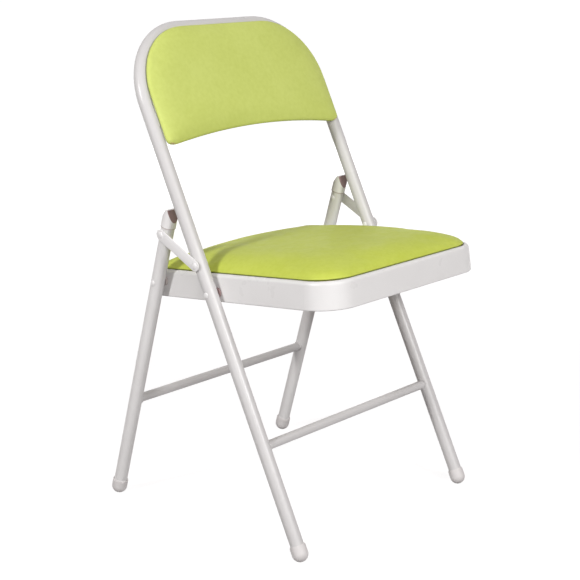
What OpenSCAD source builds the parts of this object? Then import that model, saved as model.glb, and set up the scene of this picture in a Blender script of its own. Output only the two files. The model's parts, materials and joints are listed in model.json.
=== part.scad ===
// Folding office chair: a bent tube front frame that carries the back, a pressed steel
// seat hinged to it, rear legs hinged to the seat, and two links that guide the fold.
// Millimetres, +Z up, X across the chair, the sitter faces -Y. The origin lies on the
// floor, midway between the front edge of the seat and the rear feet.

/* [Front frame] */
// Outer diameter of the frame and leg tubes
tube_d = 22; // [19:0.5:25]
// Wall of the frame and leg tubes
tube_wall = 1.2; // [0.8:0.1:2]
// Gap between each leg and the lower edge of the seat pan
seat_side_gap = 3.5; // [3:0.1:6]
// Length along the frame from the floor to the centre of its top bar
frame_len = 868; // [840:1:900]
// Radius of the two top bends, to the tube's centre line
frame_bend_r = 122; // [90:1:150]
// Backward lean of the front frame, in degrees
front_lean = 26.2; // [24:0.1:28]
// Distance along the front legs from the floor to the crossbar
front_bar_s = 184.5; // [120:0.5:230]

/* [Rear legs] */
// Forward lean of the rear legs, in degrees
rear_lean = 15.5; // [14:0.1:17]
// Distance along the rear legs from the floor to the crossbar
rear_bar_s = 183.5; // [120:0.5:230]
// Outer diameter of the two crossbars
bar_d = 15; // [12:0.5:18]
// Wall of the two crossbars
bar_wall = 1; // [0.8:0.1:1.5]

/* [Pivots] */
// Distance along the front legs from the floor to the seat pivot
seat_pivot_s = 433; // [425:0.5:440]
// Distance along the seat from its front pivot to its rear pivot
pivot_spacing = 118.2; // [112:0.1:124]
// Height of the rear pivot above the front one, square to the seat
rear_pivot_rise = 11.35; // [8:0.05:13]
// Distance along the rear legs from their pivot on the seat to the link pivot
link_pivot_rise = 85.5; // [80:0.5:90]
// Diameter of the pivot rivets of the seat
pivot_d = 6.5; // [5:0.5:9]
// Diameter of the link rivets
link_rivet_d = 6; // [4:0.5:7]
// Radial running clearance of every rivet in its hole
rivet_clear = 0.05; // [0.03:0.01:0.09]

/* [Links] */
// Width of the link straps
link_w = 18; // [12:0.5:22]
// Thickness of the link straps
link_t = 2.2; // [2:0.1:4]

/* [Feet and caps] */
// Wall of the plastic feet around the tubes
foot_wall = 1.9; // [1.5:0.1:2.5]
// Height of the straight part of a foot
foot_len = 13.5; // [12:0.5:30]
// Depth by which the round bottom of a foot is cut flat
foot_flat = 1; // [0.5:0.1:2]
// Wall of the caps on top of the rear legs
cap_wall = 1.1; // [0.8:0.1:2]
// Height of the caps
cap_len = 31; // [28:0.5:38]

/* [Seat pan] */
// Width of the seat pan over its lower edge
seat_w = 391; // [360:1:430]
// Distance from the seat pivot to the front edge of the pan
seat_front = 232; // [220:1:240]
// Height of the pan, lower edge to rim
pan_h = 43.5; // [36:0.5:50]
// Height of the seat pivot above the lower edge
pivot_rise = 15; // [12:0.5:18]
// Backward tilt of the seat, in degrees
seat_tilt = 5.8; // [4:0.1:8]
// Corner radius at the front of the pan
seat_front_r = 55; // [45:1:75]
// Sheet thickness of the pan
pan_t = 1.2; // [0.8:0.1:1.6]
// Inward lean of the pan's skirt over its height
pan_draft = 2; // [0:0.1:3]
// Radius of the rolled rim
rim_r = 6; // [4:0.5:8]
// Width of the rim, skirt to cushion
rim_w = 8.5; // [7:0.5:11]
// Depth of the recess that holds the cushion
recess = 8; // [6.5:0.5:10]
// Width of the flange under the seat board
flange_w = 16; // [15:0.5:20]
// Inner corner radius of the flange at the rear
flange_rear_r = 1; // [0.5:0.5:12]

/* [Upholstery] */
// Thickness of the seat board
seat_board_t = 6; // [4:0.5:6]
// Height of the seat cushion's side above the flange
seat_side = 10; // [9:0.5:14]
// Height of the seat's crown above its edge
seat_crown = 31; // [15:0.5:35]
// Thickness of the back board
back_board_t = 5; // [4:0.5:6]
// Thickness of the back padding at its edge
back_edge = 9; // [8:0.5:12]
// Height of the back's crown above its edge
back_crown = 9; // [4:0.5:14]
// Distance by which the back pad's edge lies inside the frame's centre line
back_inset = 3; // [1:0.5:6]
// Radius of the top corners of the back pad
back_top_r = 112; // [80:1:130]
// Distance along the frame from the floor to the lower corners of the back pad
back_low_s = 671; // [660:1:690]
// Rise of the arched lower edge of the back pad
back_arch = 15; // [8:0.5:30]
// Thickness of the upholstery cover
cover_t = 1.2; // [0.8:0.1:1.6]

/* [Hidden] */
$fn = 64;

// Colours, as on the real chair
paint_colour = [0.87, 0.86, 0.85];
plastic_colour = [0.84, 0.82, 0.80];
cover_colour = [0.77, 0.82, 0.43];
foam_colour = [0.93, 0.90, 0.75];
wood_colour = [0.76, 0.62, 0.42];
steel_colour = [0.70, 0.70, 0.71];

// Small clearances and one overrun for all cuts
overrun = 1;
free_gap = 0.3;
seat_gap = 0.1;
weld_gap = 0.05;
foam_gap = 0.5;

// The legs stand beside the seat pan
tube_r = tube_d / 2;
half_w = seat_w / 2 + seat_side_gap + tube_r;
frame_w = 2 * half_w;
side_x = half_w + tube_r;
inner_x = half_w - tube_r;
foot_r = tube_r + foot_wall;
cap_r = tube_r + cap_wall;

// Foot: a ball end, a straight wall and a socket with a floor for the tube
foot_floor = 2;
foot_centre_z = foot_r - foot_flat;
function foot_centre_s(lean) = foot_centre_z / cos(lean);
front_tube_s = foot_centre_s(front_lean) + foot_floor;
rear_tube_s = foot_centre_s(rear_lean) + foot_floor;

// Pivot places as [y, z] before the origin is moved to the middle. The rear legs run down
// from their pivot on the seat, which sets their distance from the front legs on the floor.
function front_point(s) = [s * sin(front_lean), s * cos(front_lean)];
seat_pivot = front_point(seat_pivot_s);
rear_pivot = seat_pivot
    + pivot_spacing * [cos(seat_tilt), -sin(seat_tilt)]
    + rear_pivot_rise * [sin(seat_tilt), cos(seat_tilt)];
stance = rear_pivot[0] + rear_pivot[1] * tan(rear_lean);
function rear_point(s) = [stance - s * sin(rear_lean), s * cos(rear_lean)];
rear_pivot_s = rear_pivot[1] / cos(rear_lean);
link_pivot_s = rear_pivot_s + link_pivot_rise;
link_rear = rear_point(link_pivot_s);

// Folded, the rear legs lie behind the front legs and parallel to them. The front end of
// the links is the point of the front leg that is as far from both link_rear places.
fold_offset = tube_r + max(foot_r, cap_r) + free_gap;
along = [sin(front_lean), cos(front_lean)];
behind = [cos(front_lean), -sin(front_lean)];
pivot_reach = norm(rear_pivot - seat_pivot);
folded_pivot = seat_pivot - along * sqrt(pow(pivot_reach, 2) - pow(fold_offset, 2))
    + behind * fold_offset;
folded_link = folded_pivot + along * link_pivot_rise;
link_front_s = (folded_link * folded_link - link_rear * link_rear)
    / (2 * (along * (folded_link - link_rear)));
link_front = front_point(link_front_s);
link_len = norm(link_rear - link_front);
function angle_of(v) = atan2(v[1], v[0]);
link_angle = angle_of(link_rear - link_front);

// Fold angles of the seat, the rear legs and the links, for the joints
seat_fold = angle_of(folded_pivot - seat_pivot) - angle_of(rear_pivot - seat_pivot);
legs_fold = -front_lean - rear_lean;
link_fold = angle_of(folded_link - link_front) - link_angle;

// The middle between the front edge of the seat and the rear feet
front_edge_y = seat_pivot[0] - seat_front * cos(seat_tilt) - pivot_rise * sin(seat_tilt);
rear_edge_y = rear_point(foot_centre_s(rear_lean))[0] + foot_r;
mid_y = (front_edge_y + rear_edge_y) / 2;

echo(link_front_s = link_front_s, link_len = link_len, mid_y = mid_y);
echo(seat_pivot = seat_pivot - [mid_y, 0], rear_pivot = rear_pivot - [mid_y, 0]);
echo(link_front = link_front - [mid_y, 0], link_rear = link_rear - [mid_y, 0]);
echo(seat_fold = seat_fold, legs_fold = legs_fold, link_fold = link_fold);

// Local directions of each moving group: X across, Z along the piece or up from it
module on_front() translate([0, -mid_y, 0]) rotate([-front_lean, 0, 0]) children();
module on_rear() translate([0, stance - mid_y, 0]) rotate([rear_lean, 0, 0]) children();
module on_seat()
    translate([0, seat_pivot[0] - mid_y, seat_pivot[1]]) rotate([-seat_tilt, 0, 0]) children();
module on_link()
    translate([0, link_front[0] - mid_y, link_front[1]]) rotate([link_angle, 0, 0]) children();
module to_side(side) mirror([side < 0 ? 1 : 0, 0, 0]) children();
module both_sides() for (side = [-1, 1]) to_side(side) children();
module across(d, x0, x1)
    translate([x0, 0, 0]) rotate([0, 90, 0]) cylinder(d = d, h = x1 - x0);

// A rivet or screw along X, from its inner head at x0 to its outer head at x1
head_steps = 6;
function dome(r, h, z, up) = [for (k = [0 : head_steps])
    let (a = 90 * k / head_steps) [r * cos(a), z + up * h * sin(a)]];
module rivet(d, x0, x1, inner_r, inner_h, outer_r, outer_h)
    rotate([0, 90, 0]) rotate_extrude()
        polygon(concat(
            [for (k = [head_steps : -1 : 0]) dome(inner_r, inner_h, x0, -1)[k]],
            [[d / 2, x0], [d / 2, x1]],
            dome(outer_r, outer_h, x1, 1)));

// Front frame
tab_s = back_low_s + back_arch + frame_bend_r / 4;
tab_x = half_w - frame_bend_r;

module frame_path(r, start) {
    both_sides() {
        translate([half_w, 0, start]) cylinder(r = r, h = frame_len - frame_bend_r - start);
        translate([half_w - frame_bend_r, 0, frame_len - frame_bend_r]) rotate([90, 0, 0])
            rotate_extrude(angle = 90) translate([frame_bend_r, 0]) circle(r = r);
    }
    translate([frame_bend_r - half_w, 0, frame_len]) rotate([0, 90, 0])
        cylinder(r = r, h = frame_w - 2 * frame_bend_r);
}

module front_frame_tube() color(paint_colour) on_front() difference() {
    frame_path(tube_r, front_tube_s);
    frame_path(tube_r - tube_wall, front_tube_s - overrun);
    translate([0, 0, seat_pivot_s])
        across(pivot_d + 2 * rivet_clear, -side_x - overrun, side_x + overrun);
    translate([0, 0, link_front_s])
        across(link_rivet_d + 2 * rivet_clear, -side_x - overrun, side_x + overrun);
}

module crossbar(s) difference() {
    translate([0, 0, s]) across(bar_d, -half_w, half_w);
    translate([0, 0, s]) across(bar_d - 2 * bar_wall, -half_w - overrun, half_w + overrun);
    both_sides() translate([half_w, 0, s - bar_d])
        cylinder(r = tube_r + weld_gap, h = 2 * bar_d);
}
module front_crossbar() color(paint_colour) on_front() crossbar(front_bar_s);

// Four steel tabs on the inner side of the bent tube carry the back pad
tab_t = 2;
tab_w = 22;
tab_reach = 26;
tab_hole_reach = 19;
back_screw_d = 5;
tab_front = tube_r;
module each_tab() both_sides() {
    translate([half_w, 0, tab_s]) rotate([0, -90, 0]) children();
    translate([tab_x, 0, frame_len]) rotate([0, 180, 0]) children();
}
module back_tabs() color(paint_colour) on_front() difference() {
    each_tab() difference() {
        translate([-tab_w / 2, -tab_front, 0]) cube([tab_w, tab_t, tab_reach]);
        translate([0, overrun, tab_hole_reach]) rotate([90, 0, 0])
            cylinder(d = back_screw_d + 2 * rivet_clear, h = tab_front + 2 * overrun);
    }
    frame_path(tube_r + weld_gap, tab_s - tab_w);
}

// Feet: plastic cups with a ball end, cut flat on the floor
foot_step = 1.5;
module foot(lean) {
    s = foot_centre_s(lean);
    difference() {
        union() {
            translate([half_w, 0, s]) sphere(r = foot_r);
            translate([half_w, 0, s]) cylinder(r = foot_r, h = foot_len - foot_step);
            translate([half_w, 0, s + foot_len - foot_step])
                cylinder(r = foot_r - foot_step / 2, h = foot_step);
        }
        translate([half_w, 0, s + foot_floor - seat_gap])
            cylinder(r = tube_r + weld_gap, h = foot_len + overrun);
    }
}
module floor_cut() translate([-frame_w, -frame_w, -2 * foot_r])
    cube([2 * frame_w, 2 * frame_w, 2 * foot_r]);
module front_foot(side) color(plastic_colour) difference() {
    on_front() to_side(side) foot(front_lean);
    floor_cut();
}
module rear_foot(side) color(plastic_colour) difference() {
    on_rear() to_side(side) foot(rear_lean);
    floor_cut();
}

// Closed solids built from rings. Each row is [inset, share of the outline, height];
// the first and last rows close in a point at the middle of the outline.
module ring_solid(rings, top, bottom) {
    count = len(rings[0]);
    rows = len(rings);
    points = concat([top], [for (ring = rings) each ring], [bottom]);
    function at(r, i) = 1 + r * count + (i % count);
    polyhedron(points = points, faces = concat(
        [for (i = [0 : count - 1]) [0, at(0, i + 1), at(0, i)]],
        [for (r = [0 : rows - 2]) for (i = [0 : count - 1]) each [
            [at(r, i), at(r, i + 1), at(r + 1, i + 1)],
            [at(r, i), at(r + 1, i + 1), at(r + 1, i)]]],
        [for (i = [0 : count - 1]) [1 + rows * count, at(rows - 1, i), at(rows - 1, i + 1)]]));
}
function arc(c, r, a0, a1, n) = [for (k = [0 : n])
    let (a = a0 + (a1 - a0) * k / n) [c[0] + r * cos(a), c[1] + r * sin(a)]];
function between(a, b, n, bow) = [for (k = [1 : n - 1])
    let (t = k / n, d = (b - a) / norm(b - a))
    a + (b - a) * t + bow * sin(180 * t) * [-d[1], d[0]]];
// A smaller copy of an outline. Towards the middle it turns into an oval, so that the
// corners of the outline leave no ridges on the crown.
function shrink(outline, middle, share, z) =
    let (a = max([for (p = outline) abs(p[0] - middle[0])]),
        b = max([for (p = outline) abs(p[1] - middle[1])]))
    [for (p = outline)
        let (d = p - middle,
            turn = atan2(d[1] / b, d[0] / a),
            oval = [a * cos(turn), b * sin(turn)],
            q = middle + share * (oval + (d - oval) * pow(share, oval_power)))
        [q[0], q[1], z]];

// Rows of a padded form: the crown, a rolled edge and the side down to the base
crown_shares = [0.16, 0.34, 0.52, 0.68, 0.8, 0.89, 0.95, 1];
oval_power = 1;
roll_angles = [30, 60, 90];
module padded(outline_kind, inset, base, edge, crown, power, roll, middle, wall, hem) {
    function ring(i, share, z) = shrink(outline(outline_kind, i), middle, share, z);
    function crown_z(share, drop) = edge + crown * (1 - pow(share, power)) - drop;
    outer = concat(
        [for (q = crown_shares) ring(inset + roll, q, crown_z(q, 0))],
        [for (a = roll_angles)
            ring(inset + roll * (1 - sin(a)), 1, edge - roll * (1 - cos(a)))],
        edge - roll > base ? [ring(inset, 1, base)] : []);
    inner = wall == 0 ? [] : concat(
        [ring(inset + hem, 1, base), ring(inset + hem, 1, base + wall),
         ring(inset + wall, 1, base + wall)],
        [for (k = [len(roll_angles) - 1 : -1 : 0]) let (a = roll_angles[k])
            ring(inset + roll - (roll - wall) * sin(a), 1, edge - roll + (roll - wall) * cos(a))],
        [for (k = [len(crown_shares) - 1 : -1 : 0]) let (q = crown_shares[k])
            ring(inset + roll, q, crown_z(q, wall))]);
    last_z = wall == 0 ? base : crown_z(0, wall);
    ring_solid(concat(outer, inner), [middle[0], middle[1], crown_z(0, 0)],
        [middle[0], middle[1], last_z]);
}
function outline(kind, inset) = kind == "seat" ? seat_outline(inset) : back_outline(inset);

// Outline of the back pad: it follows the bent tube, and its lower edge is an arch
back_low_r = 11;
back_corner_steps = 4;
back_side_steps = 3;
back_bend_steps = 8;
back_top_steps = 4;
back_arch_steps = 12;
function back_outline(inset) =
    let (w = half_w - back_inset - inset,
        top = frame_len - back_inset - inset,
        bend = back_top_r - inset,
        low_r = max(back_low_r - inset, seat_gap),
        low = back_low_s + inset,
        side_low = low + low_r,
        reach = w - low_r)
    concat(
        arc([w - low_r, side_low], low_r, -90, 0, back_corner_steps),
        between([w, side_low], [w, top - bend], back_side_steps, 0),
        arc([w - bend, top - bend], bend, 0, 90, back_bend_steps),
        between([w - bend, top], [bend - w, top], back_top_steps, 0),
        arc([bend - w, top - bend], bend, 90, 180, back_bend_steps),
        between([-w, top - bend], [-w, side_low], back_side_steps, 0),
        arc([low_r - w, side_low], low_r, 180, 270, back_corner_steps),
        [for (k = [1 : back_arch_steps - 1]) let (t = 2 * k / back_arch_steps - 1)
            [reach * t, low + back_arch * (1 - t * t)]]);

back_plane = tube_r + seat_gap;
back_middle = [0, (back_low_s + back_arch + frame_len) / 2];
back_roll = 4;
back_power = 2.4;
hem_w = 8;
module on_back() on_front() translate([0, -back_plane, 0]) rotate([90, 0, 0]) children();

module back_cover() color(cover_colour) on_back()
    padded("back", 0, 0, back_edge, back_crown, back_power, back_roll, back_middle,
        cover_t, hem_w);
back_foam_base = cover_t + back_board_t + 2 * seat_gap;
back_foam_edge = back_edge - cover_t - foam_gap;
back_foam_roll = back_foam_edge - back_foam_base;
module back_foam() color(foam_colour) on_back()
    padded("back", back_roll - back_foam_roll, back_foam_base, back_foam_edge, back_crown,
        back_power, back_foam_roll, back_middle, 0, 0);
module back_board() color(wood_colour) difference() {
    on_back() translate([0, 0, cover_t + seat_gap]) linear_extrude(back_board_t)
        polygon(back_outline(back_roll / 2));
    on_front() each_tab() at_tab_hole()
        cylinder(d = back_screw_d + 2 * rivet_clear, h = back_screw_len + seat_gap);
}

// Screws from behind, through the tabs into the board
back_screw_len = tab_t + cover_t + back_board_t;
back_head_r = 4.5;
back_head_h = 2.2;
module at_tab_hole() translate([0, tab_t - tab_front + seat_gap, tab_hole_reach])
    rotate([90, 0, 0]) children();
module back_screws() color(steel_colour) on_front() each_tab() at_tab_hole()
    rotate_extrude() polygon(concat(
        [[0, back_screw_len], [back_screw_d / 2, back_screw_len], [back_screw_d / 2, 0]],
        dome(back_head_r, back_head_h, 0, -1)));

// Seat pan: one pressed profile that runs round four sides and four corners
half_seat = seat_w / 2;
seat_rear_r = pan_draft + rim_w + flange_w + flange_rear_r;
bracket_r = 8.5;
seat_rear = pivot_spacing + bracket_r + seat_rear_r;
seat_depth = seat_front + seat_rear;
pan_low_r = 2;
pan_lip = 6;
rim_in_r = 2;
pan_steps = 6;
skirt_h = pan_h - rim_r - pan_low_r;
function lean_in(h) = pan_draft * (h - pan_low_r) / skirt_h;
function quarter(c, r, a0, a1) = [for (k = [0 : pan_steps])
    let (a = a0 + (a1 - a0) * k / pan_steps) [c[0] + r * cos(a), c[1] + r * sin(a)]];
pan_profile = concat(
    [[pan_lip, 0]],
    quarter([pan_low_r, pan_low_r], pan_low_r, 270, 180),
    quarter([pan_draft + rim_r, pan_h - rim_r], rim_r, 180, 90),
    quarter([rim_w + pan_draft - rim_in_r, pan_h - rim_in_r], rim_in_r, 90, 0),
    [[rim_w + pan_draft, pan_h - recess], [rim_w + pan_draft + flange_w, pan_h - recess],
     [rim_w + pan_draft + flange_w, pan_h - recess - pan_t],
     [rim_w + pan_draft - pan_t, pan_h - recess - pan_t]],
    quarter([rim_w + pan_draft - rim_in_r, pan_h - rim_in_r], rim_in_r - pan_t, 0, 90),
    quarter([pan_draft + rim_r, pan_h - rim_r], rim_r - pan_t, 90, 180),
    [[pan_t, pan_low_r], [pan_t, pan_t], [pan_lip, pan_t]]);

module pan_run(turn, reach, shift, length) rotate([0, 0, turn])
    translate([0, shift + length / 2, -pivot_rise]) rotate([90, 0, 0])
        linear_extrude(length) polygon([for (p = pan_profile) [reach - p[0], p[1]]]);
module pan_corner(x, y, turn, r) translate([x, y, -pivot_rise]) rotate([0, 0, turn])
    rotate_extrude(angle = 90) polygon([for (p = pan_profile) [r - p[0], p[1]]]);

side_run = seat_depth - seat_front_r - seat_rear_r;
side_mid = (seat_rear - seat_rear_r - seat_front + seat_front_r) / 2;
pan_screw_d = 4;
cushion_gap = 0.6;
cushion_inset = pan_draft + rim_w + cushion_gap;
screw_x = half_seat - (cushion_inset + hem_w + pan_draft + rim_w + flange_w) / 2;
screw_places = [[screw_x, seat_front_r - seat_front], [screw_x, seat_rear - seat_front_r]];

module seat_pan() color(paint_colour) on_seat() difference() {
    union() {
        pan_run(0, half_seat, side_mid, side_run);
        pan_run(180, half_seat, -side_mid, side_run);
        pan_run(-90, seat_front, 0, seat_w - 2 * seat_front_r);
        pan_run(90, seat_rear, 0, seat_w - 2 * seat_rear_r);
        pan_corner(half_seat - seat_front_r, seat_front_r - seat_front, -90, seat_front_r);
        pan_corner(seat_front_r - half_seat, seat_front_r - seat_front, 180, seat_front_r);
        pan_corner(half_seat - seat_rear_r, seat_rear - seat_rear_r, 0, seat_rear_r);
        pan_corner(seat_rear_r - half_seat, seat_rear - seat_rear_r, 90, seat_rear_r);
    }
    pivot_drill();
    both_sides() for (p = screw_places) translate([p[0], p[1], 0])
        cylinder(d = pan_screw_d + 2 * rivet_clear, h = pan_h);
}
module pivot_drill() {
    across(pivot_d + 2 * rivet_clear, -half_seat - overrun, half_seat + overrun);
    translate([0, pivot_spacing, rear_pivot_rise])
        across(pivot_d + 2 * rivet_clear, -half_seat - overrun, half_seat + overrun);
}

// Doubling plates inside the skirt, one over both pivots of a side
bracket_t = 2;
bracket_len = norm([pivot_spacing, rear_pivot_rise]);
skirt_lean = atan(pan_draft / skirt_h);
module pivot_brackets() color(paint_colour) on_seat() difference() {
    both_sides() translate([half_seat - pan_t - seat_gap, 0, pan_low_r - pivot_rise])
        rotate([0, -skirt_lean, 0]) translate([-bracket_t, 0, pivot_rise - pan_low_r])
            rotate([angle_of([pivot_spacing, rear_pivot_rise]), 0, 0])
                rotate([90, 0, 90]) linear_extrude(bracket_t) {
                    circle(r = bracket_r);
                    translate([bracket_len, 0]) circle(r = bracket_r);
                    translate([0, -bracket_r]) square([bracket_len, 2 * bracket_r]);
                }
    pivot_drill();
}

// Outline of the seat cushion inside the rim, with sides that draw in a little
draw_in = 1.2;
corner_steps = 6;
edge_steps = 6;
function seat_outline(inset) =
    let (x = half_seat - cushion_inset - inset,
        front = cushion_inset + inset - seat_front,
        rear = seat_rear - cushion_inset - inset,
        rf = seat_front_r - cushion_inset - inset,
        rr = seat_rear_r - cushion_inset - inset)
    concat(
        arc([x - rf, front + rf], rf, -90, 0, corner_steps),
        between([x, front + rf], [x, rear - rr], edge_steps, draw_in),
        arc([x - rr, rear - rr], rr, 0, 90, corner_steps),
        between([x - rr, rear], [rr - x, rear], edge_steps, draw_in),
        arc([rr - x, rear - rr], rr, 90, 180, corner_steps),
        between([-x, rear - rr], [-x, front + rf], edge_steps, draw_in),
        arc([rf - x, front + rf], rf, 180, 270, corner_steps),
        between([rf - x, front], [x - rf, front], edge_steps, draw_in));

seat_base = pan_h - pivot_rise - recess + seat_gap;
seat_edge = seat_base + seat_side;
seat_middle = [0, (seat_rear - seat_front) / 2];
seat_roll = 5;
seat_power = 5;
module seat_cover() color(cover_colour) on_seat()
    padded("seat", 0, seat_base, seat_edge, seat_crown, seat_power, seat_roll, seat_middle,
        cover_t, hem_w);
seat_foam_base = seat_base + cover_t + seat_board_t + 2 * seat_gap;
seat_foam_edge = seat_edge - cover_t - foam_gap;
seat_foam_roll = seat_foam_edge - seat_foam_base;
module seat_foam() color(foam_colour) on_seat()
    padded("seat", seat_roll - seat_foam_roll, seat_foam_base, seat_foam_edge, seat_crown,
        seat_power, seat_foam_roll, seat_middle, 0, 0);
module seat_board() color(wood_colour) on_seat() difference() {
    translate([0, 0, seat_base + cover_t + seat_gap]) linear_extrude(seat_board_t)
        polygon(seat_outline(seat_roll / 2));
    screw_shanks(pan_screw_d + 2 * rivet_clear, seat_gap);
}

// Seat screws come up through the flange and the hem into the board
pan_head_r = 3.6;
pan_head_h = 2;
screw_base = seat_base - seat_gap - pan_t - seat_gap;
pan_screw_len = pan_t + cover_t + seat_board_t;
module screw_shanks(d, extra) both_sides() for (p = screw_places)
    translate([p[0], p[1], screw_base]) cylinder(d = d, h = pan_screw_len + extra);
module seat_screws() color(steel_colour) on_seat() both_sides() for (p = screw_places)
    translate([p[0], p[1], screw_base]) rotate_extrude() polygon(concat(
        [[0, pan_screw_len], [pan_screw_d / 2, pan_screw_len], [pan_screw_d / 2, 0]],
        dome(pan_head_r, pan_head_h, 0, -1)));

// Rear legs
cap_below = 2.5;
cap_top_s = link_pivot_s + link_w / 2 + cap_below + cap_len;
rear_top_s = link_pivot_s + link_w / 2 + cap_len / 2;
module rear_leg(side) color(paint_colour) on_rear() difference() {
    to_side(side) translate([half_w, 0, rear_tube_s])
        cylinder(r = tube_r, h = rear_top_s - rear_tube_s);
    to_side(side) translate([half_w, 0, rear_tube_s - overrun])
        cylinder(r = tube_r - tube_wall, h = rear_top_s - rear_tube_s + 2 * overrun);
    translate([0, 0, rear_pivot_s])
        across(pivot_d + 2 * rivet_clear, -side_x - overrun, side_x + overrun);
    translate([0, 0, link_pivot_s])
        across(link_rivet_d + 2 * rivet_clear, -side_x - overrun, side_x + overrun);
}
module rear_crossbar() color(paint_colour) on_rear() crossbar(rear_bar_s);

// Caps: bevelled towards the front tube and towards the rear. A bevel runs from its
// tip at the top of the cap, past the cap's side, down to its drop there.
cap_tip_share = 0.25;
cap_drop_share = 0.6;
cap_rear_tip_share = 0.05;
cap_rear_drop_share = 0.7;
function bevel(tip_share, drop_share) = [[cap_r * tip_share, 0],
    [cap_r + overrun,
        -cap_len * drop_share * (cap_r + overrun - cap_r * tip_share)
            / (cap_r * (1 - tip_share))]];
module leg_cap(side) color(plastic_colour) on_rear() to_side(side)
    translate([half_w, 0, 0]) difference() {
        intersection() {
            translate([0, 0, cap_top_s - cap_len]) cylinder(r = cap_r, h = cap_len);
            translate([-cap_r - overrun, 0, cap_top_s]) rotate([90, 0, 90])
                linear_extrude(2 * (cap_r + overrun)) polygon(concat(
                    [for (p = bevel(cap_tip_share, cap_drop_share)) [-p[0], p[1]]],
                    [[-cap_r - overrun, -cap_len - overrun],
                        [cap_r + overrun, -cap_len - overrun],
                        bevel(cap_rear_tip_share, cap_rear_drop_share)[1],
                        bevel(cap_rear_tip_share, cap_rear_drop_share)[0]]));
        }
        translate([0, 0, cap_top_s - cap_len - overrun])
            cylinder(r = tube_r + weld_gap,
                h = rear_top_s + seat_gap - cap_top_s + cap_len + overrun);
    }

// Rivets and spacers of the seat pivots
seat_rivet_lip = 1.3;
seat_rivet_head_r = pivot_d / 2 + seat_rivet_lip;
seat_rivet_head_h = 1.2;
seat_tail_r = 6.5;
seat_tail_h = 2;
spacer_r = 8;
module seat_rivet(height) {
    skirt_in = half_seat - pan_t - seat_gap - bracket_t - lean_in(height + seat_tail_r);
    rivet(pivot_d, skirt_in - free_gap, side_x + seat_gap, seat_tail_r, seat_tail_h,
        seat_rivet_head_r, seat_rivet_head_h);
}
module spacer(r, hole_d, x0, x1) difference() {
    across(2 * r, x0, x1);
    across(hole_d + 2 * rivet_clear, x0 - overrun, x1 + overrun);
}
module seat_pivot_rivets() color(paint_colour) on_seat() both_sides() seat_rivet(pivot_rise);
module rear_pivot_rivets() color(paint_colour) on_seat() both_sides()
    translate([0, pivot_spacing, rear_pivot_rise]) seat_rivet(pivot_rise + rear_pivot_rise);
module seat_pivot_spacers() color(plastic_colour) on_seat() both_sides()
    spacer(spacer_r, pivot_d, half_seat - lean_in(pivot_rise - spacer_r) + free_gap,
        inner_x - seat_gap);
module rear_pivot_spacers() color(plastic_colour) on_seat() both_sides()
    translate([0, pivot_spacing, rear_pivot_rise])
        spacer(spacer_r, pivot_d,
            half_seat - lean_in(pivot_rise + rear_pivot_rise - spacer_r) + free_gap,
            inner_x - seat_gap);

// Links: straps with round ends outside the tubes, clear of the leg caps
link_x = half_w + cap_r + free_gap;
link_head_r = 5.5;
link_head_h = 1.5;
link_tail_r = 4.6;
link_tail_h = 1.8;
link_spacer_r = 5;
module link(side) color(paint_colour) on_link() to_side(side) difference() {
    translate([link_x, 0, 0]) rotate([90, 0, 90]) linear_extrude(link_t) {
        circle(d = link_w);
        translate([link_len, 0]) circle(d = link_w);
        translate([0, -link_w / 2]) square([link_len, link_w]);
    }
    across(link_rivet_d + 2 * rivet_clear, link_x - overrun, link_x + link_t + overrun);
    translate([0, link_len, 0])
        across(link_rivet_d + 2 * rivet_clear, link_x - overrun, link_x + link_t + overrun);
}
module link_front_rivets() color(paint_colour) on_link() both_sides()
    rivet(link_rivet_d, inner_x - seat_gap, link_x + link_t + free_gap, link_tail_r,
        link_tail_h, link_head_r, link_head_h);
module link_front_spacers() color(paint_colour) on_link() both_sides()
    spacer(link_spacer_r, link_rivet_d, side_x + seat_gap, link_x - free_gap);
// The rear rivet is split at the tube's face: its head and collar ride on the link
module link_rivets(side) color(paint_colour) on_link() to_side(side)
    translate([0, link_len, 0]) rotate([0, 90, 0]) rotate_extrude() polygon(concat(
        [[0, side_x + free_gap], [link_spacer_r, side_x + free_gap],
            [link_spacer_r, link_x - seat_gap], [link_rivet_d / 2, link_x - seat_gap],
            [link_rivet_d / 2, link_x + link_t + seat_gap]],
        dome(link_head_r, link_head_h, link_x + link_t + seat_gap, 1)));
module link_rivet_tails() color(paint_colour) on_link() both_sides()
    translate([0, link_len, 0]) rotate([0, 90, 0]) rotate_extrude() polygon(concat(
        [[0, side_x - seat_gap], [link_rivet_d / 2, side_x - seat_gap],
            [link_rivet_d / 2, inner_x - seat_gap]],
        dome(link_tail_r, link_tail_h, inner_x - seat_gap, -1)));

front_frame_tube();
front_crossbar();
front_foot(-1);  // front_foot_left
front_foot(1);  // front_foot_right
back_tabs();
back_board();
back_foam();
back_cover();
back_screws();
seat_pivot_rivets();
seat_pivot_spacers();
link_front_rivets();
link_front_spacers();
seat_pan();
pivot_brackets();
seat_board();
seat_foam();
seat_cover();
seat_screws();
rear_leg(-1);  // rear_leg_left
rear_leg(1);  // rear_leg_right
rear_crossbar();
rear_foot(-1);  // rear_foot_left
rear_foot(1);  // rear_foot_right
leg_cap(-1);  // leg_cap_left
leg_cap(1);  // leg_cap_right
rear_pivot_rivets();
rear_pivot_spacers();
link_rivet_tails();
link(-1);  // link_left
link(1);  // link_right
link_rivets(-1);  // link_rivets_left
link_rivets(1);  // link_rivets_right
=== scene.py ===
import json
import math

import bpy
import numpy as np
from mathutils import Matrix, Vector


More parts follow.
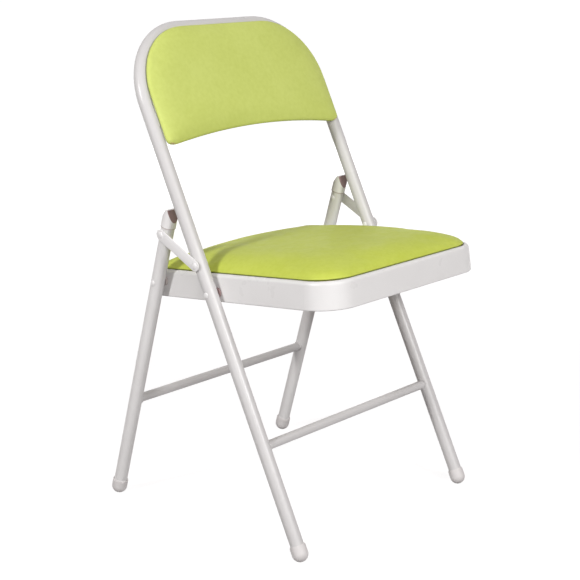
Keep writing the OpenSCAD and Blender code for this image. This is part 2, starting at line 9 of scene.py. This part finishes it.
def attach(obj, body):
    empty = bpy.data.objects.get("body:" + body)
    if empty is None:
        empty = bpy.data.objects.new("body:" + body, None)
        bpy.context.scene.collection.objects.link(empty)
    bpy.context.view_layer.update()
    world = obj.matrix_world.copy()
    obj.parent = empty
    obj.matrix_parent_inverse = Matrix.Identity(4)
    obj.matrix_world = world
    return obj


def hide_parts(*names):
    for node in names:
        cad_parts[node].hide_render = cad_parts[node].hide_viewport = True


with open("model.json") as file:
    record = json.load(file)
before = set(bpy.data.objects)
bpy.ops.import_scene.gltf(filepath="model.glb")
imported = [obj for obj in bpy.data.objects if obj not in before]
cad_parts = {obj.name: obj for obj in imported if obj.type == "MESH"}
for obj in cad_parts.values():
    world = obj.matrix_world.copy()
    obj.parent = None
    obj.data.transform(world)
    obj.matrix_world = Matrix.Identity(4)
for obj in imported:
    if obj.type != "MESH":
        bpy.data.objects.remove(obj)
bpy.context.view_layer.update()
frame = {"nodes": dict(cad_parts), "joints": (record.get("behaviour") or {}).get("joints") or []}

# Camera: a long lens a little above the seat, in front of the chair and to its left.
# The numbers were fitted to the tubes and feet in the photograph.
camera_place = (-1.7018, -1.46846, 0.9373)
camera_azimuth = math.radians(-48.8278)
camera_height_angle = math.radians(14.5287)
camera_roll = math.radians(0.3223)
focal_length_in_pixels = 1398.8
picture_width_in_pixels = 580


def toward(azimuth, height_angle):
    """The direction from the chair to a place at these angles round it and up."""
    return Vector((math.sin(azimuth) * math.cos(height_angle),
                   -math.cos(azimuth) * math.cos(height_angle),
                   math.sin(height_angle)))


camera_back = toward(camera_azimuth, camera_height_angle)
level_right = Vector((math.cos(camera_azimuth), math.sin(camera_azimuth), 0))
level_up = camera_back.cross(level_right)
camera_right = level_right * math.cos(camera_roll) + level_up * math.sin(camera_roll)
camera_up = level_up * math.cos(camera_roll) - level_right * math.sin(camera_roll)
bpy.ops.object.select_all(action="DESELECT")
bpy.ops.object.camera_add()
camera = bpy.context.object
camera.name = "studio_camera"
camera.data.sensor_width = 36
camera.data.lens = focal_length_in_pixels / picture_width_in_pixels * camera.data.sensor_width
camera.data.clip_end = 60
camera.matrix_world = Matrix.Translation(camera_place) @ Matrix(
    (camera_right, camera_up, camera_back)).transposed().to_4x4()
bpy.context.scene.camera = camera

# Front frame: one round steel tube bent to an upside-down U, with a thin crossbar welded
# between its legs. Both are powder coated in a warm off-white with a slight orange peel.
nodes = frame["nodes"]
half_width = 0.21
front_foot_y = -0.19296
front_lean = math.radians(-26.2)
front_bar_up = 0.1845


def plain_material(name, colour, roughness):
    """A material, its nodes and its shader; noise is then laid over the plain values."""
    material = bpy.data.materials.new(name)
    material.use_nodes = True
    shader = material.node_tree.nodes["Principled BSDF"]
    shader.inputs["Base Color"].default_value = (*colour, 1)
    shader.inputs["Roughness"].default_value = roughness
    return material, material.node_tree, shader


def cloudy(tree, scale, detail):
    """Soft noise that is fixed to the piece."""
    place = tree.nodes.new("ShaderNodeTexCoord")
    noise = tree.nodes.new("ShaderNodeTexNoise")
    noise.inputs["Scale"].default_value = scale
    noise.inputs["Detail"].default_value = detail
    tree.links.new(place.outputs["Object"], noise.inputs["Vector"])
    return noise.outputs["Fac"]


def colour_between(tree, value, low, high, low_at=0.3, high_at=0.7):
    """The low colour up to low_at, the high one from high_at, and a blend between."""
    ramp = tree.nodes.new("ShaderNodeValToRGB")
    ramp.color_ramp.elements[0].position = low_at
    ramp.color_ramp.elements[0].color = (*low, 1)
    ramp.color_ramp.elements[1].position = high_at
    ramp.color_ramp.elements[1].color = (*high, 1)
    tree.links.new(value, ramp.inputs["Fac"])
    return ramp.outputs["Color"]


def number_between(tree, value, low, high, low_at=0.3, high_at=0.7):
    """The low number up to low_at, the high one from high_at, and a blend between."""
    spread = tree.nodes.new("ShaderNodeMapRange")
    spread.inputs["From Min"].default_value = low_at
    spread.inputs["From Max"].default_value = high_at
    spread.inputs["To Min"].default_value = low
    spread.inputs["To Max"].default_value = high
    tree.links.new(value, spread.inputs["Value"])
    return spread.outputs["Result"]


def mottle(tree, shader, low, high, scale, detail):
    clouds = cloudy(tree, scale, detail)
    tree.links.new(colour_between(tree, clouds, low, high), shader.inputs["Base Color"])


def vary_roughness(tree, shader, low, high, scale, detail):
    clouds = cloudy(tree, scale, detail)
    tree.links.new(number_between(tree, clouds, low, high), shader.inputs["Roughness"])


def bump(tree, shader, height, distance, strength, under=None):
    """Relief on the surface, laid over another relief if there is one under it."""
    bumped = tree.nodes.new("ShaderNodeBump")
    bumped.inputs["Strength"].default_value = strength
    bumped.inputs["Distance"].default_value = distance
    tree.links.new(height, bumped.inputs["Height"])
    if under:
        tree.links.new(under.outputs["Normal"], bumped.inputs["Normal"])
    tree.links.new(bumped.outputs["Normal"], shader.inputs["Normal"])
    return bumped


def sprayed_coat(name, low, high):
    """Powder coat: two shades of off-white, a fine orange peel and longer waves."""
    coat, tree, shader = plain_material(name, high, roughness=0.3)
    shader.inputs["Specular IOR Level"].default_value = 0.35
    mottle(tree, shader, low, high, scale=9, detail=4)
    vary_roughness(tree, shader, 0.27, 0.31, scale=22, detail=3)
    peel = bump(tree, shader, cloudy(tree, 620, 2), distance=0.0002, strength=0.14)
    bump(tree, shader, cloudy(tree, 55, 2), distance=0.0007, strength=0.08, under=peel)
    return coat


# The second and third coats are lighter copies of the first: painted light for the brighter
# light on the pan, rear legs, links and rivets.
powder_coat = sprayed_coat("powder_coat", (0.622, 0.608, 0.604), (0.660, 0.650, 0.646))
coat_painted_lighter = sprayed_coat("coat_painted_lighter", (0.765, 0.755, 0.748), (0.80, 0.792, 0.786))
coat_painted_lightest = sprayed_coat("coat_painted_lightest", (0.84, 0.83, 0.827), (0.88, 0.872, 0.87))


def finish_with(material, *names):
    for name in names:
        for place in nodes[name].material_slots:
            place.material = material


finish_with(powder_coat, "front_frame_tube", "front_crossbar", "back_tabs")


def on_front(*where):
    """A place given along the front frame: across, towards the sitter's back, and up it."""
    return (Matrix.Translation((0, front_foot_y, 0)) @ Matrix.Rotation(front_lean, 4, "X")
            @ Matrix.Translation(where))


def select_only(piece):
    bpy.ops.object.select_all(action="DESELECT")
    bpy.context.view_layer.objects.active = piece
    piece.select_set(True)


def keep_place(piece):
    """Put the piece's place into its mesh, so that its origin is the chair's."""
    select_only(piece)
    bpy.ops.object.transform_apply(location=True, rotation=True, scale=True)


def weld_bead(name, place, side, body):
    """A ring of weld round a crossbar's end, bent to a saddle where it meets the leg."""
    ring_radius, bead_radius = 0.0079, 0.0013
    from_leg_beside, from_leg_above = 0.0082, 0.0112
    thick_beside, thin_above = 1.15, 0.9
    bpy.ops.object.select_all(action="DESELECT")
    bpy.ops.curve.primitive_bezier_circle_add(radius=ring_radius,
                                              rotation=(0, math.pi / 2, 0))
    bead = bpy.context.object
    bead.name = name
    bpy.ops.object.transform_apply(location=False, rotation=True, scale=False)
    for point in bead.data.splines[0].bezier_points:
        beside = abs(point.co.y) > abs(point.co.z)
        for part in ("co", "handle_left", "handle_right"):
            spot = getattr(point, part)
            spot.x = -side * (from_leg_beside if beside else from_leg_above)
        point.radius = thick_beside if beside else thin_above
    bead.data.bevel_depth = bead_radius
    bead.data.bevel_resolution = 3
    bead.data.resolution_u = 16
    bead.matrix_world = place
    bpy.ops.object.convert(target="MESH")
    keep_place(bead)
    bpy.ops.object.shade_smooth()
    bead.data.materials.append(powder_coat)
    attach(bead, body)


weld_bead("front_weld_left", on_front(-half_width, 0, front_bar_up), -1, "front_frame")
weld_bead("front_weld_right", on_front(half_width, 0, front_bar_up), 1, "front_frame")

# Rear legs: two straight steel tubes with a thin crossbar welded between them. The legs and
# the pressed steel seat pan take the front frame's coat painted a shade lighter, standing in for
# the light they catch.
rear_foot_y = 0.224517
rear_lean = math.radians(15.5)
rear_bar_up = 0.1835
finish_with(powder_coat, "rear_crossbar")
finish_with(coat_painted_lighter, "rear_leg_left", "rear_leg_right", "seat_pan", "pivot_brackets")


def on_rear(*where):
    """A place given along the rear legs: across, towards the back, and up them."""
    return (Matrix.Translation((0, rear_foot_y, 0)) @ Matrix.Rotation(rear_lean, 4, "X")
            @ Matrix.Translation(where))


weld_bead("rear_weld_left", on_rear(-half_width, 0, rear_bar_up), -1, "rear_legs")
weld_bead("rear_weld_right", on_rear(half_width, 0, rear_bar_up), 1, "rear_legs")

# Links: flat steel straps with round ends and rolled edges, outside the tubes, on domed
# rivets. They and all rivets take the same coat painted lightest, standing in for the light they
# catch.
finish_with(coat_painted_lightest, "link_rivets_left", "link_rivets_right", "link_front_rivets",
            "link_front_spacers", "link_rivet_tails", "seat_pivot_rivets",
            "rear_pivot_rivets")
joint_places = {joint["name"]: Vector(joint["pos_m"]) for joint in frame["joints"]}
link_front = joint_places["left_link_fold"]
link_rear = Vector((0, 0.0941047, 0.47025))
link_run = link_rear - link_front
strap_width, strap_thickness = 0.018, 0.0022
strap_middle_x = 0.2235
end_rounding, edge_rounding = 0.00898, 0.0009


def bevel_edges(piece, through, offset, segments):
    """Round the edges that run through the strap's thickness, or else all the others."""
    bpy.ops.object.mode_set(mode="EDIT")
    bpy.ops.mesh.select_mode(type="EDGE")
    bpy.ops.mesh.select_all(action="DESELECT")
    bpy.ops.object.mode_set(mode="OBJECT")
    for edge in piece.data.edges:
        start, end = (piece.data.vertices[corner].co for corner in edge.vertices)
        edge.select = (abs(start.x - end.x) > strap_thickness / 2) == through
    bpy.ops.object.mode_set(mode="EDIT")
    bpy.ops.mesh.bevel(offset=offset, segments=segments)
    bpy.ops.object.mode_set(mode="OBJECT")


for name, side, body in (("link_strap_left", -1, "left_link"),
                         ("link_strap_right", 1, "right_link")):
    bpy.ops.object.select_all(action="DESELECT")
    bpy.ops.mesh.primitive_cube_add(size=1)
    strap = bpy.context.object
    strap.name = name
    strap.scale = (strap_thickness, link_run.length + strap_width, strap_width)
    bpy.ops.object.transform_apply(location=False, rotation=False, scale=True)
    bevel_edges(strap, through=True, offset=end_rounding, segments=16)
    bevel_edges(strap, through=False, offset=edge_rounding, segments=3)
    strap.matrix_world = (
        Matrix.Translation(link_front + link_run / 2 + Vector((side * strap_middle_x, 0, 0)))
        @ Matrix.Rotation(math.atan2(link_run.z, link_run.y), 4, "X"))
    keep_place(strap)
    bpy.ops.object.shade_smooth_by_angle(angle=math.radians(40))
    strap.data.materials.append(coat_painted_lightest)
    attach(strap, body)
    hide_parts("link_left" if side < 0 else "link_right")

# Feet: moulded plastic cups pressed on the tube ends, a little greyer than the coat, and
# mottled from years of dust.
foot_plastic, tree, shader = plain_material("foot_plastic", (0.72, 0.695, 0.69), 0.5)
mottle(tree, shader, (0.685, 0.66, 0.652), (0.74, 0.718, 0.712), scale=40, detail=4)
vary_roughness(tree, shader, 0.46, 0.6, scale=60, detail=2)
bump(tree, shader, cloudy(tree, 700, 2), distance=0.0001, strength=0.2)
finish_with(foot_plastic, "front_foot_left", "front_foot_right", "rear_foot_left",
            "rear_foot_right")

# Caps and washers: moulded plastic in the frame's off-white, with a matt skin. Painted shade
# darkens the seam where a cap's lower edge grips the leg, and the bevel in front is painted dark
# brown.
cap_low_up, cap_top_up = 0.4995, 0.5305
seam_shade_full, seam_shade_end = 0.0008, 0.0022
bevel_start, bevel_reach, bevel_drop = 0.003025, 0.009075, 0.0186
brown_starts, brown_full = 0.0005, 0.0002


def share_along(tree, direction, zero_at, one_at):
    """A share that grows from zero to one between two levels along a direction."""
    spot = tree.nodes.new("ShaderNodeTexCoord")
    level = tree.nodes.new("ShaderNodeVectorMath")
    level.operation = "DOT_PRODUCT"
    level.inputs[1].default_value = direction
    tree.links.new(spot.outputs["Object"], level.inputs[0])
    return number_between(tree, level.outputs["Value"], 0, 1, zero_at, one_at)


def painted_over(tree, share, under, colour):
    """The colours under it, hidden by one colour as far as the share says."""
    paint = tree.nodes.new("ShaderNodeMix")
    paint.data_type = "RGBA"
    paint.inputs["B"].default_value = (*colour, 1)
    tree.links.new(share, paint.inputs["Factor"])
    tree.links.new(under, paint.inputs["A"])
    return paint.outputs["Result"]


cap_plastic, tree, shader = plain_material("cap_plastic", (0.83, 0.815, 0.81), 0.5)
clean = colour_between(tree, cloudy(tree, 30, 3), (0.83, 0.815, 0.81), (0.87, 0.858, 0.852))
up_leg = Vector((0, -math.sin(rear_lean), math.cos(rear_lean)))
cap_low = up_leg.dot(on_rear(0, 0, cap_low_up).translation)
# Painted shade: the cap's colour darkens just above its lower edge, where the seam lies in
# shade.
seam_shade = share_along(tree, up_leg, cap_low + seam_shade_end, cap_low + seam_shade_full)
seam_shaded = painted_over(tree, seam_shade, clean, (0.50, 0.45, 0.43))
bevel_slope = math.atan2(bevel_drop, bevel_reach) + rear_lean
bevel_faces = Vector((0, -math.sin(bevel_slope), math.cos(bevel_slope)))
bevel_level = bevel_faces.dot(on_rear(0, -bevel_start, cap_top_up).translation)
on_bevel = share_along(tree, bevel_faces, bevel_level - brown_starts,
                       bevel_level - brown_full)
tree.links.new(painted_over(tree, on_bevel, seam_shaded, (0.30, 0.20, 0.193)),
               shader.inputs["Base Color"])
vary_roughness(tree, shader, 0.44, 0.56, scale=45, detail=2)
bump(tree, shader, cloudy(tree, 900, 2), distance=0.0001, strength=0.15)
finish_with(cap_plastic, "leg_cap_left", "leg_cap_right", "seat_pivot_spacers",
            "rear_pivot_spacers")

# Boards: plywood panels behind the back pad and under the seat, sanded and left bare. The
# grain runs across the chair in long narrow streaks.
plywood, tree, shader = plain_material("plywood", (0.62, 0.45, 0.26), 0.6)
place = tree.nodes.new("ShaderNodeTexCoord")
along_grain = tree.nodes.new("ShaderNodeMapping")
along_grain.inputs["Scale"].default_value = (1.2, 14, 14)
tree.links.new(place.outputs["Object"], along_grain.inputs["Vector"])
grain = tree.nodes.new("ShaderNodeTexNoise")
grain.inputs["Scale"].default_value = 9
grain.inputs["Detail"].default_value = 8
grain.inputs["Roughness"].default_value = 0.62
grain.inputs["Distortion"].default_value = 0.5
tree.links.new(along_grain.outputs["Vector"], grain.inputs["Vector"])
streaks = colour_between(tree, grain.outputs["Fac"], (0.44, 0.28, 0.13), (0.70, 0.53, 0.32),
                         low_at=0.32, high_at=0.68)
tree.links.new(streaks, shader.inputs["Base Color"])
bump(tree, shader, grain.outputs["Fac"], distance=0.0004, strength=0.25)
finish_with(plywood, "seat_board", "back_board")

# Screws: zinc plated steel with domed heads, four in the back and four in the seat. The
# plating is a little cloudy, so that their shine is uneven.
zinc, tree, shader = plain_material("zinc", (0.62, 0.62, 0.60), 0.35)
shader.inputs["Metallic"].default_value = 1
mottle(tree, shader, (0.50, 0.50, 0.48), (0.68, 0.68, 0.66), scale=400, detail=3)
vary_roughness(tree, shader, 0.28, 0.45, scale=700, detail=2)
finish_with(zinc, "seat_screws", "back_screws")

# Seat cushion: foam on the board, wrapped in a green coated cloth that is stapled under
# it. It is a crowned form whose sides draw in; the cloth is blown up a little from inside.
seat_tilt = math.radians(-5.8)
seat_place = (Matrix.Translation(joint_places["seat_fold"])
              @ Matrix.Rotation(seat_tilt, 4, "X"))
seat_half_width, seat_front, seat_rear = 0.1844, -0.2209, 0.14312
seat_front_corner, seat_rear_corner = 0.05, 0.0164
seat_middle = (0, -0.03889)
seat_edge_height, seat_crown, seat_underside = 0.0332, 0.0214, 0.0282
ring_steps = 36
pad_rings = ring_steps // 2


def coated_cloth(name, low, high):
    """Smooth green cloth, a little mottled, with painted shade in the crease round its edge."""
    cloth, tree, shader = plain_material(name, high, 0.5)
    shader.inputs["Specular IOR Level"].default_value = 0.24
    clouds = tree.nodes.new("ShaderNodeMix")
    clouds.inputs["Factor"].default_value = 0.45
    tree.links.new(cloudy(tree, 12, 5), clouds.inputs["A"])
    tree.links.new(cloudy(tree, 150, 3), clouds.inputs["B"])
    green = colour_between(tree, clouds.outputs["Result"], low, high,
                           low_at=0.38, high_at=0.62)
    # Painted shade: the cloth's colour darkens in the crease round the cushion's edge, as far as
    # each ring says.
    crease_shade = tree.nodes.new("ShaderNodeAttribute")
    crease_shade.attribute_name = "crease_shade"
    crease_shade_colour = (low[0] * 0.5, low[1] * 0.5, low[2] * 0.8)
    tree.links.new(painted_over(tree, crease_shade.outputs["Fac"], green, crease_shade_colour),
                   shader.inputs["Base Color"])
    vary_roughness(tree, shader, 0.46, 0.6, scale=60, detail=4)
    weave = bump(tree, shader, cloudy(tree, 850, 3), distance=0.0002, strength=0.3)
    bump(tree, shader, cloudy(tree, 90, 4), distance=0.0006, strength=0.15, under=weave)
    return cloth


seat_cloth = coated_cloth("seat_cloth", (0.530, 0.606, 0.082), (0.578, 0.654, 0.105))
# The back's copy of the cloth is a paler green, and is also painted lighter for the light on the
# upright back.
back_cloth_painted_lighter = coated_cloth("back_cloth_painted_lighter", (0.585, 0.662, 0.160), (0.630, 0.708, 0.190))


def corner_arc(x, y, radius, start, end, steps=24):
    """Points of an arc round a middle, between two angles in degrees."""
    turns = [math.radians(start + (end - start) * step / steps) for step in range(steps + 1)]
    return [(x + radius * math.cos(turn), y + radius * math.sin(turn)) for turn in turns]


def evenly(points, count):
    """As many points at equal distances along a line, without its last point."""
    line = np.array(points)
    length = np.concatenate([[0], np.cumsum(np.linalg.norm(np.diff(line, axis=0), axis=1))])
    at = np.linspace(0, length[-1], count + 1)[:-1]
    return np.stack([np.interp(at, length, line[:, 0]), np.interp(at, length, line[:, 1])], 1)


def seat_outline(inset):
    """Even points along each of the four sides, from corner middle to corner middle."""
    side, front, rear = seat_half_width - inset, seat_front + inset, seat_rear - inset
    front_r, rear_r = seat_front_corner - inset, seat_rear_corner - inset
    corners = [corner_arc(side - front_r, front + front_r, front_r, -90, 0),
               corner_arc(side - rear_r, rear - rear_r, rear_r, 0, 90),
               corner_arc(rear_r - side, rear - rear_r, rear_r, 90, 180),
               corner_arc(front_r - side, front + front_r, front_r, 180, 270)]
    half = len(corners[0]) // 2
    return np.concatenate([evenly(corners[k][half:] + corners[(k + 1) % 4][:half + 1],
                                  ring_steps) for k in range(4)])


def pad_grid(ring, middle, late):
    """A square grid stretched to an outline, so that the crown has no pole. Its rings are
    ovals that turn into the outline the later the higher the last number is."""
    points = np.zeros((ring_steps + 1, ring_steps + 1, 3))
    half = np.abs(ring - middle).max(0)
    for i in range(ring_steps + 1):
        for j in range(ring_steps + 1):
            u, v = i - pad_rings, j - pad_rings
            reach = max(abs(u), abs(v))
            if reach == 0:
                points[i, j] = (*middle, 0)
                continue
            if u == reach and v < reach:
                step = v + reach
            elif v == reach and u > -reach:
                step = 2 * reach + reach - u
            elif u == -reach and v > -reach:
                step = 4 * reach + reach - v
            else:
                step = 6 * reach + u + reach
            at = step * pad_rings / reach % (4 * ring_steps)
            low = int(at)
            part = at - low
            edge = ring[low] * (1 - part) + ring[(low + 1) % len(ring)] * part
            share = math.sin(reach / pad_rings * math.pi / 2)
            away = edge - middle
            turn = math.atan2(away[1] / half[1], away[0] / half[0])
            oval = np.array((half[0] * math.cos(turn), half[1] * math.sin(turn)))
            points[i, j, :2] = middle + share * (oval + (away - oval) * share ** late)
            points[i, j, 2] = share
    return points


def ring_of_grid():
    """Places in the grid of the points of its outermost ring, in the outline's order."""
    last = ring_steps
    return ([(last, j) for j in range(last)] + [(i, last) for i in range(last, 0, -1)]
            + [(0, j) for j in range(last, 0, -1)] + [(i, 0) for i in range(last)])


def build_pad(name, outline, middle, late, rings, top, underside, place):
    """Two grids, joined by rings that run from the rolled edge down round the hem. A ring
    says its inset, its height, how firmly it is held, and how much painted shade it has in the
    crease."""
    middle = np.array(middle)
    vertices, faces, held, crease_shade_shares = [], [], [], []
    upper = pad_grid(outline(rings[0][0]), middle, late)
    grid_index = np.arange((ring_steps + 1) ** 2).reshape(ring_steps + 1, ring_steps + 1)
    for i in range(ring_steps + 1):
        for j in range(ring_steps + 1):
            x, y, share = upper[i, j]
            vertices.append((x, y, top(share)))
            held.append(0)
            crease_shade_shares.append(0)
    for i in range(ring_steps):
        for j in range(ring_steps):
            faces.append((grid_index[i, j], grid_index[i + 1, j],
                          grid_index[i + 1, j + 1], grid_index[i, j + 1]))
    before = [int(grid_index[place_in]) for place_in in ring_of_grid()]
    for inset, height, hold, shade in rings[1:]:
        ring = outline(inset)
        start = len(vertices)
        vertices.extend((x, y, height) for x, y in ring)
        held.extend([hold] * len(ring))
        crease_shade_shares.extend([shade] * len(ring))
        after = list(range(start, start + len(ring)))
        for k in range(len(ring)):
            following = (k + 1) % len(ring)
            faces.append((before[k], after[k], after[following], before[following]))
        before = after
    lower = pad_grid(outline(rings[-1][0]), middle, late)
    inner = {place_in: before[k] for k, place_in in enumerate(ring_of_grid())}
    for i in range(ring_steps + 1):
        for j in range(ring_steps + 1):
            if (i, j) not in inner:
                inner[i, j] = len(vertices)
                vertices.append((lower[i, j, 0], lower[i, j, 1], underside))
                held.append(1)
                crease_shade_shares.append(0)
    for i in range(ring_steps):
        for j in range(ring_steps):
            faces.append((inner[i, j], inner[i, j + 1], inner[i + 1, j + 1], inner[i + 1, j]))
    mesh = bpy.data.meshes.new(name)
    mesh.from_pydata([place @ Vector(point) for point in vertices], [], faces)
    pad = bpy.data.objects.new(name, mesh)
    bpy.context.collection.objects.link(pad)
    mesh.attributes.new("crease_shade", "FLOAT", "POINT").data.foreach_set("value", crease_shade_shares)
    holding = pad.vertex_groups.new(name="held")
    for number, hold in enumerate(held):
        if hold:
            holding.add([number], hold, "REPLACE")
    return pad


def swell(pad, furthest):
    """Blow the cloth up from inside, and let no point move further than this."""
    last_moment = 20
    rest = np.array([vertex.co for vertex in pad.data.vertices])
    cloth = pad.modifiers.new("blown_up", "CLOTH")
    cloth.settings.quality = 6
    cloth.settings.mass = 0.3
    cloth.settings.tension_stiffness = 12
    cloth.settings.compression_stiffness = 12
    cloth.settings.bending_stiffness = 0.8
    cloth.settings.use_pressure = True
    cloth.settings.uniform_pressure_force = 4
    cloth.settings.effector_weights.gravity = 0
    cloth.settings.vertex_group_mass = "held"
    cloth.collision_settings.use_collision = False
    cloth.point_cache.frame_start = 1
    cloth.point_cache.frame_end = last_moment
    for moment in range(1, last_moment + 1):
        bpy.context.scene.frame_set(moment)
    shape = pad.evaluated_get(bpy.context.evaluated_depsgraph_get())
    moved = np.array([vertex.co for vertex in shape.data.vertices]) - rest
    bpy.context.scene.frame_set(1)
    pad.modifiers.remove(cloth)
    far = np.linalg.norm(moved, axis=1)
    kept = furthest * np.tanh(far / furthest) / np.maximum(far, 1e-9)
    print(pad.name, "cloth moved", round(far.max(), 4), "kept", round((far * kept).max(), 4))
    for vertex, start, move, share in zip(pad.data.vertices, rest, moved, kept):
        vertex.co = Vector(start + move * share)


def finish_pad(pad, body, material):
    pad.vertex_groups.clear()
    pad.data.materials.append(material)
    select_only(pad)
    smooth = pad.modifiers.new("finer", "SUBSURF")
    smooth.levels = 1
    smooth.render_levels = 1
    bpy.ops.object.modifier_apply(modifier="finer")
    bpy.ops.object.shade_smooth()
    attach(pad, body)


seat_rings = [(-0.0006, seat_edge_height, 0, 0), (-0.0021, 0.0324, 0.5, 0),
              (-0.0028, 0.0311, 1, 0), (-0.0027, 0.0300, 1, 0.5), (-0.0018, 0.0291, 1, 1),
              (0.0002, 0.0285, 1, 1), (0.0007, 0.0230, 1, 1), (0.0010, 0.0207, 1, 1),
              (0.0080, 0.0206, 1, 0), (0.0080, 0.0218, 1, 0), (0.0022, 0.0219, 1, 0),
              (0.0022, 0.0281, 1, 0), (0.0060, 0.0282, 1, 0)]


def seat_top(share):
    """Height of the crown from its middle, at share 0, to the rolled edge, at share 1."""
    return seat_edge_height + seat_crown * (1 - share ** 8) ** 0.55


seat_cushion = build_pad("seat_cushion", seat_outline, seat_middle, late=6, rings=seat_rings,
                         top=seat_top, underside=seat_underside, place=seat_place)
swell(seat_cushion, furthest=0.002)
finish_pad(seat_cushion, "seat", seat_cloth)
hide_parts("seat_cover", "seat_foam")

# Back pad: foam on a shaped board in a paler copy of the seat's cloth, painted lighter for the
# light on the upright back. It is nearly flat, inside the bent tube; its lower edge is an arch,
# and its hem is folded behind the board.
back_board_front = -0.0111
back_place = on_front(0, back_board_front, 0) @ Matrix.Rotation(math.radians(90), 4, "X")
back_half_width, back_top, back_low = 0.207, 0.865, 0.671
back_top_corner, back_low_corner, back_arch_rise = 0.112, 0.011, 0.015
back_middle = (0, 0.7785)
back_edge_height, back_crown, back_underside = 0.0094, 0.0042, 0.0065


def back_outline(inset):
    side, top, low = back_half_width - inset, back_top - inset, back_low + inset
    bend, low_r = back_top_corner - inset, max(back_low_corner - inset, 0.0001)
    reach = side - low_r
    arch = [(reach * t, low + back_arch_rise * (1 - t * t)) for t in np.linspace(-1, 1, 41)]
    right = corner_arc(reach, low + low_r, low_r, -90, 0)
    left = corner_arc(-reach, low + low_r, low_r, 180, 270)
    right_top = corner_arc(side - bend, top - bend, bend, 0, 90)
    left_top = corner_arc(bend - side, top - bend, bend, 90, 180)
    half = len(right) // 2
    return np.concatenate([
        evenly(right[half:] + right_top[:half + 1], ring_steps),
        evenly(right_top[half:] + left_top[:half + 1], ring_steps),
        evenly(left_top[half:] + left[:half + 1], ring_steps),
        evenly(left[half:] + arch[1:-1] + right[:half + 1], ring_steps)])


back_rings = [(0.0060, back_edge_height, 0, 0), (0.0034, 0.0086, 0.2, 0),
              (0.0015, 0.0068, 0.6, 0), (0.0004, 0.0046, 1, 0), (0.0, 0.0024, 1, 0.4),
              (0.0005, 0.0002, 1, 1), (0.0080, 0.0001, 1, 0.5), (0.0080, 0.0012, 1, 0),
              (0.0022, 0.0013, 1, 0), (0.0034, 0.0060, 1, 0), (0.0060, 0.0064, 1, 0)]


def back_rise(share):
    """Height of the nearly flat crown from its middle, at share 0, to the edge, at share 1."""
    return back_edge_height + back_crown * (1 - share ** 6)


back_pad = build_pad("back_pad", back_outline, back_middle, late=2, rings=back_rings,
                     top=back_rise, underside=back_underside, place=back_place)
swell(back_pad, furthest=0.0015)
finish_pad(back_pad, "front_frame", back_cloth_painted_lighter)
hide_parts("back_cover", "back_foam")

# Studio: a floor that keeps a faint shadow and fades to white away from the chair, a dim
# warm room that shows white, and four soft lamps round the chair. The lamp behind it
# lightens the edges, and is kept out of reflections, where it would whiten the seat.
floor_glow_near, floor_glow_far = 0.88, 1.0
fade_starts, fade_ends = 0.9, 3.0
bpy.ops.object.select_all(action="DESELECT")
bpy.ops.mesh.primitive_plane_add(size=40)
floor = bpy.context.object
floor.name = "studio_floor"
floor_white = bpy.data.materials.new("floor_white")
floor_white.use_nodes = True
tree = floor_white.node_tree
tree.nodes.remove(tree.nodes["Principled BSDF"])


def combined(tree, operation, one, other):
    step = tree.nodes.new("ShaderNodeMath")
    step.operation = operation
    tree.links.new(one, step.inputs[0])
    tree.links.new(other, step.inputs[1])
    return step.outputs["Value"]


def seen_directly(tree):
    """One for rays from the camera and for those that a gloss or a glass sends on."""
    ray = tree.nodes.new("ShaderNodeLightPath").outputs
    direct = combined(tree, "MAXIMUM", ray["Is Camera Ray"], ray["Is Glossy Ray"])
    return combined(tree, "MAXIMUM", direct, ray["Is Transmission Ray"])


matt = tree.nodes.new("ShaderNodeBsdfDiffuse")
matt.inputs["Color"].default_value = (0.26, 0.25, 0.25, 1)
spot = tree.nodes.new("ShaderNodeTexCoord")
from_middle = tree.nodes.new("ShaderNodeVectorMath")
from_middle.operation = "LENGTH"
tree.links.new(spot.outputs["Object"], from_middle.inputs[0])
whiter = number_between(tree, from_middle.outputs["Value"], floor_glow_near, floor_glow_far,
                        fade_starts, fade_ends)
glow = tree.nodes.new("ShaderNodeEmission")
glow.inputs["Color"].default_value = (1, 1, 1, 1)
tree.links.new(combined(tree, "MULTIPLY", seen_directly(tree), whiter),
               glow.inputs["Strength"])
both = tree.nodes.new("ShaderNodeAddShader")
tree.links.new(matt.outputs["BSDF"], both.inputs[0])
tree.links.new(glow.outputs["Emission"], both.inputs[1])
tree.links.new(both.outputs["Shader"], tree.nodes["Material Output"].inputs["Surface"])
floor.data.materials.append(floor_white)

room = bpy.data.worlds.new("studio_room")
room.use_nodes = True
bpy.context.scene.world = room
tree = room.node_tree
dim = tree.nodes["Background"]
dim.inputs["Color"].default_value = (1, 0.86, 0.85, 1)
dim.inputs["Strength"].default_value = 0.17
white = tree.nodes.new("ShaderNodeBackground")
white.inputs["Color"].default_value = (1, 1, 1, 1)
white.inputs["Strength"].default_value = 1
choose = tree.nodes.new("ShaderNodeMixShader")
tree.links.new(seen_directly(tree), choose.inputs["Fac"])
tree.links.new(dim.outputs["Background"], choose.inputs[1])
tree.links.new(white.outputs["Background"], choose.inputs[2])
tree.links.new(choose.outputs["Shader"], tree.nodes["World Output"].inputs["Surface"])

chair_middle = Vector((0, 0, 0.42))
for lamp_name, azimuth, height_angle, away, level, spread_angle in (
        ("lamp_left", -97, 31, 3.0, 1.51, 9), ("lamp_right", -9, 25, 3.6, 1.48, 14),
        ("lamp_front", -38, 22, 4.5, 0.84, 26), ("lamp_back", 131, 6, 4.0, 1.0, 20)):
    from_chair = toward(math.radians(azimuth), math.radians(height_angle))
    bpy.ops.object.light_add(type="AREA", location=chair_middle + from_chair * away)
    lamp = bpy.context.object
    lamp.name = lamp_name
    lamp.rotation_euler = from_chair.to_track_quat("Z", "Y").to_euler()
    lamp.data.shape = "DISK"
    lamp.data.size = 2 * away * math.tan(math.radians(spread_angle / 2))
    lamp.data.energy = level * math.pi * away ** 2
    lamp.visible_glossy = lamp_name != "lamp_back"

bpy.context.scene.view_settings.view_transform = "Standard"
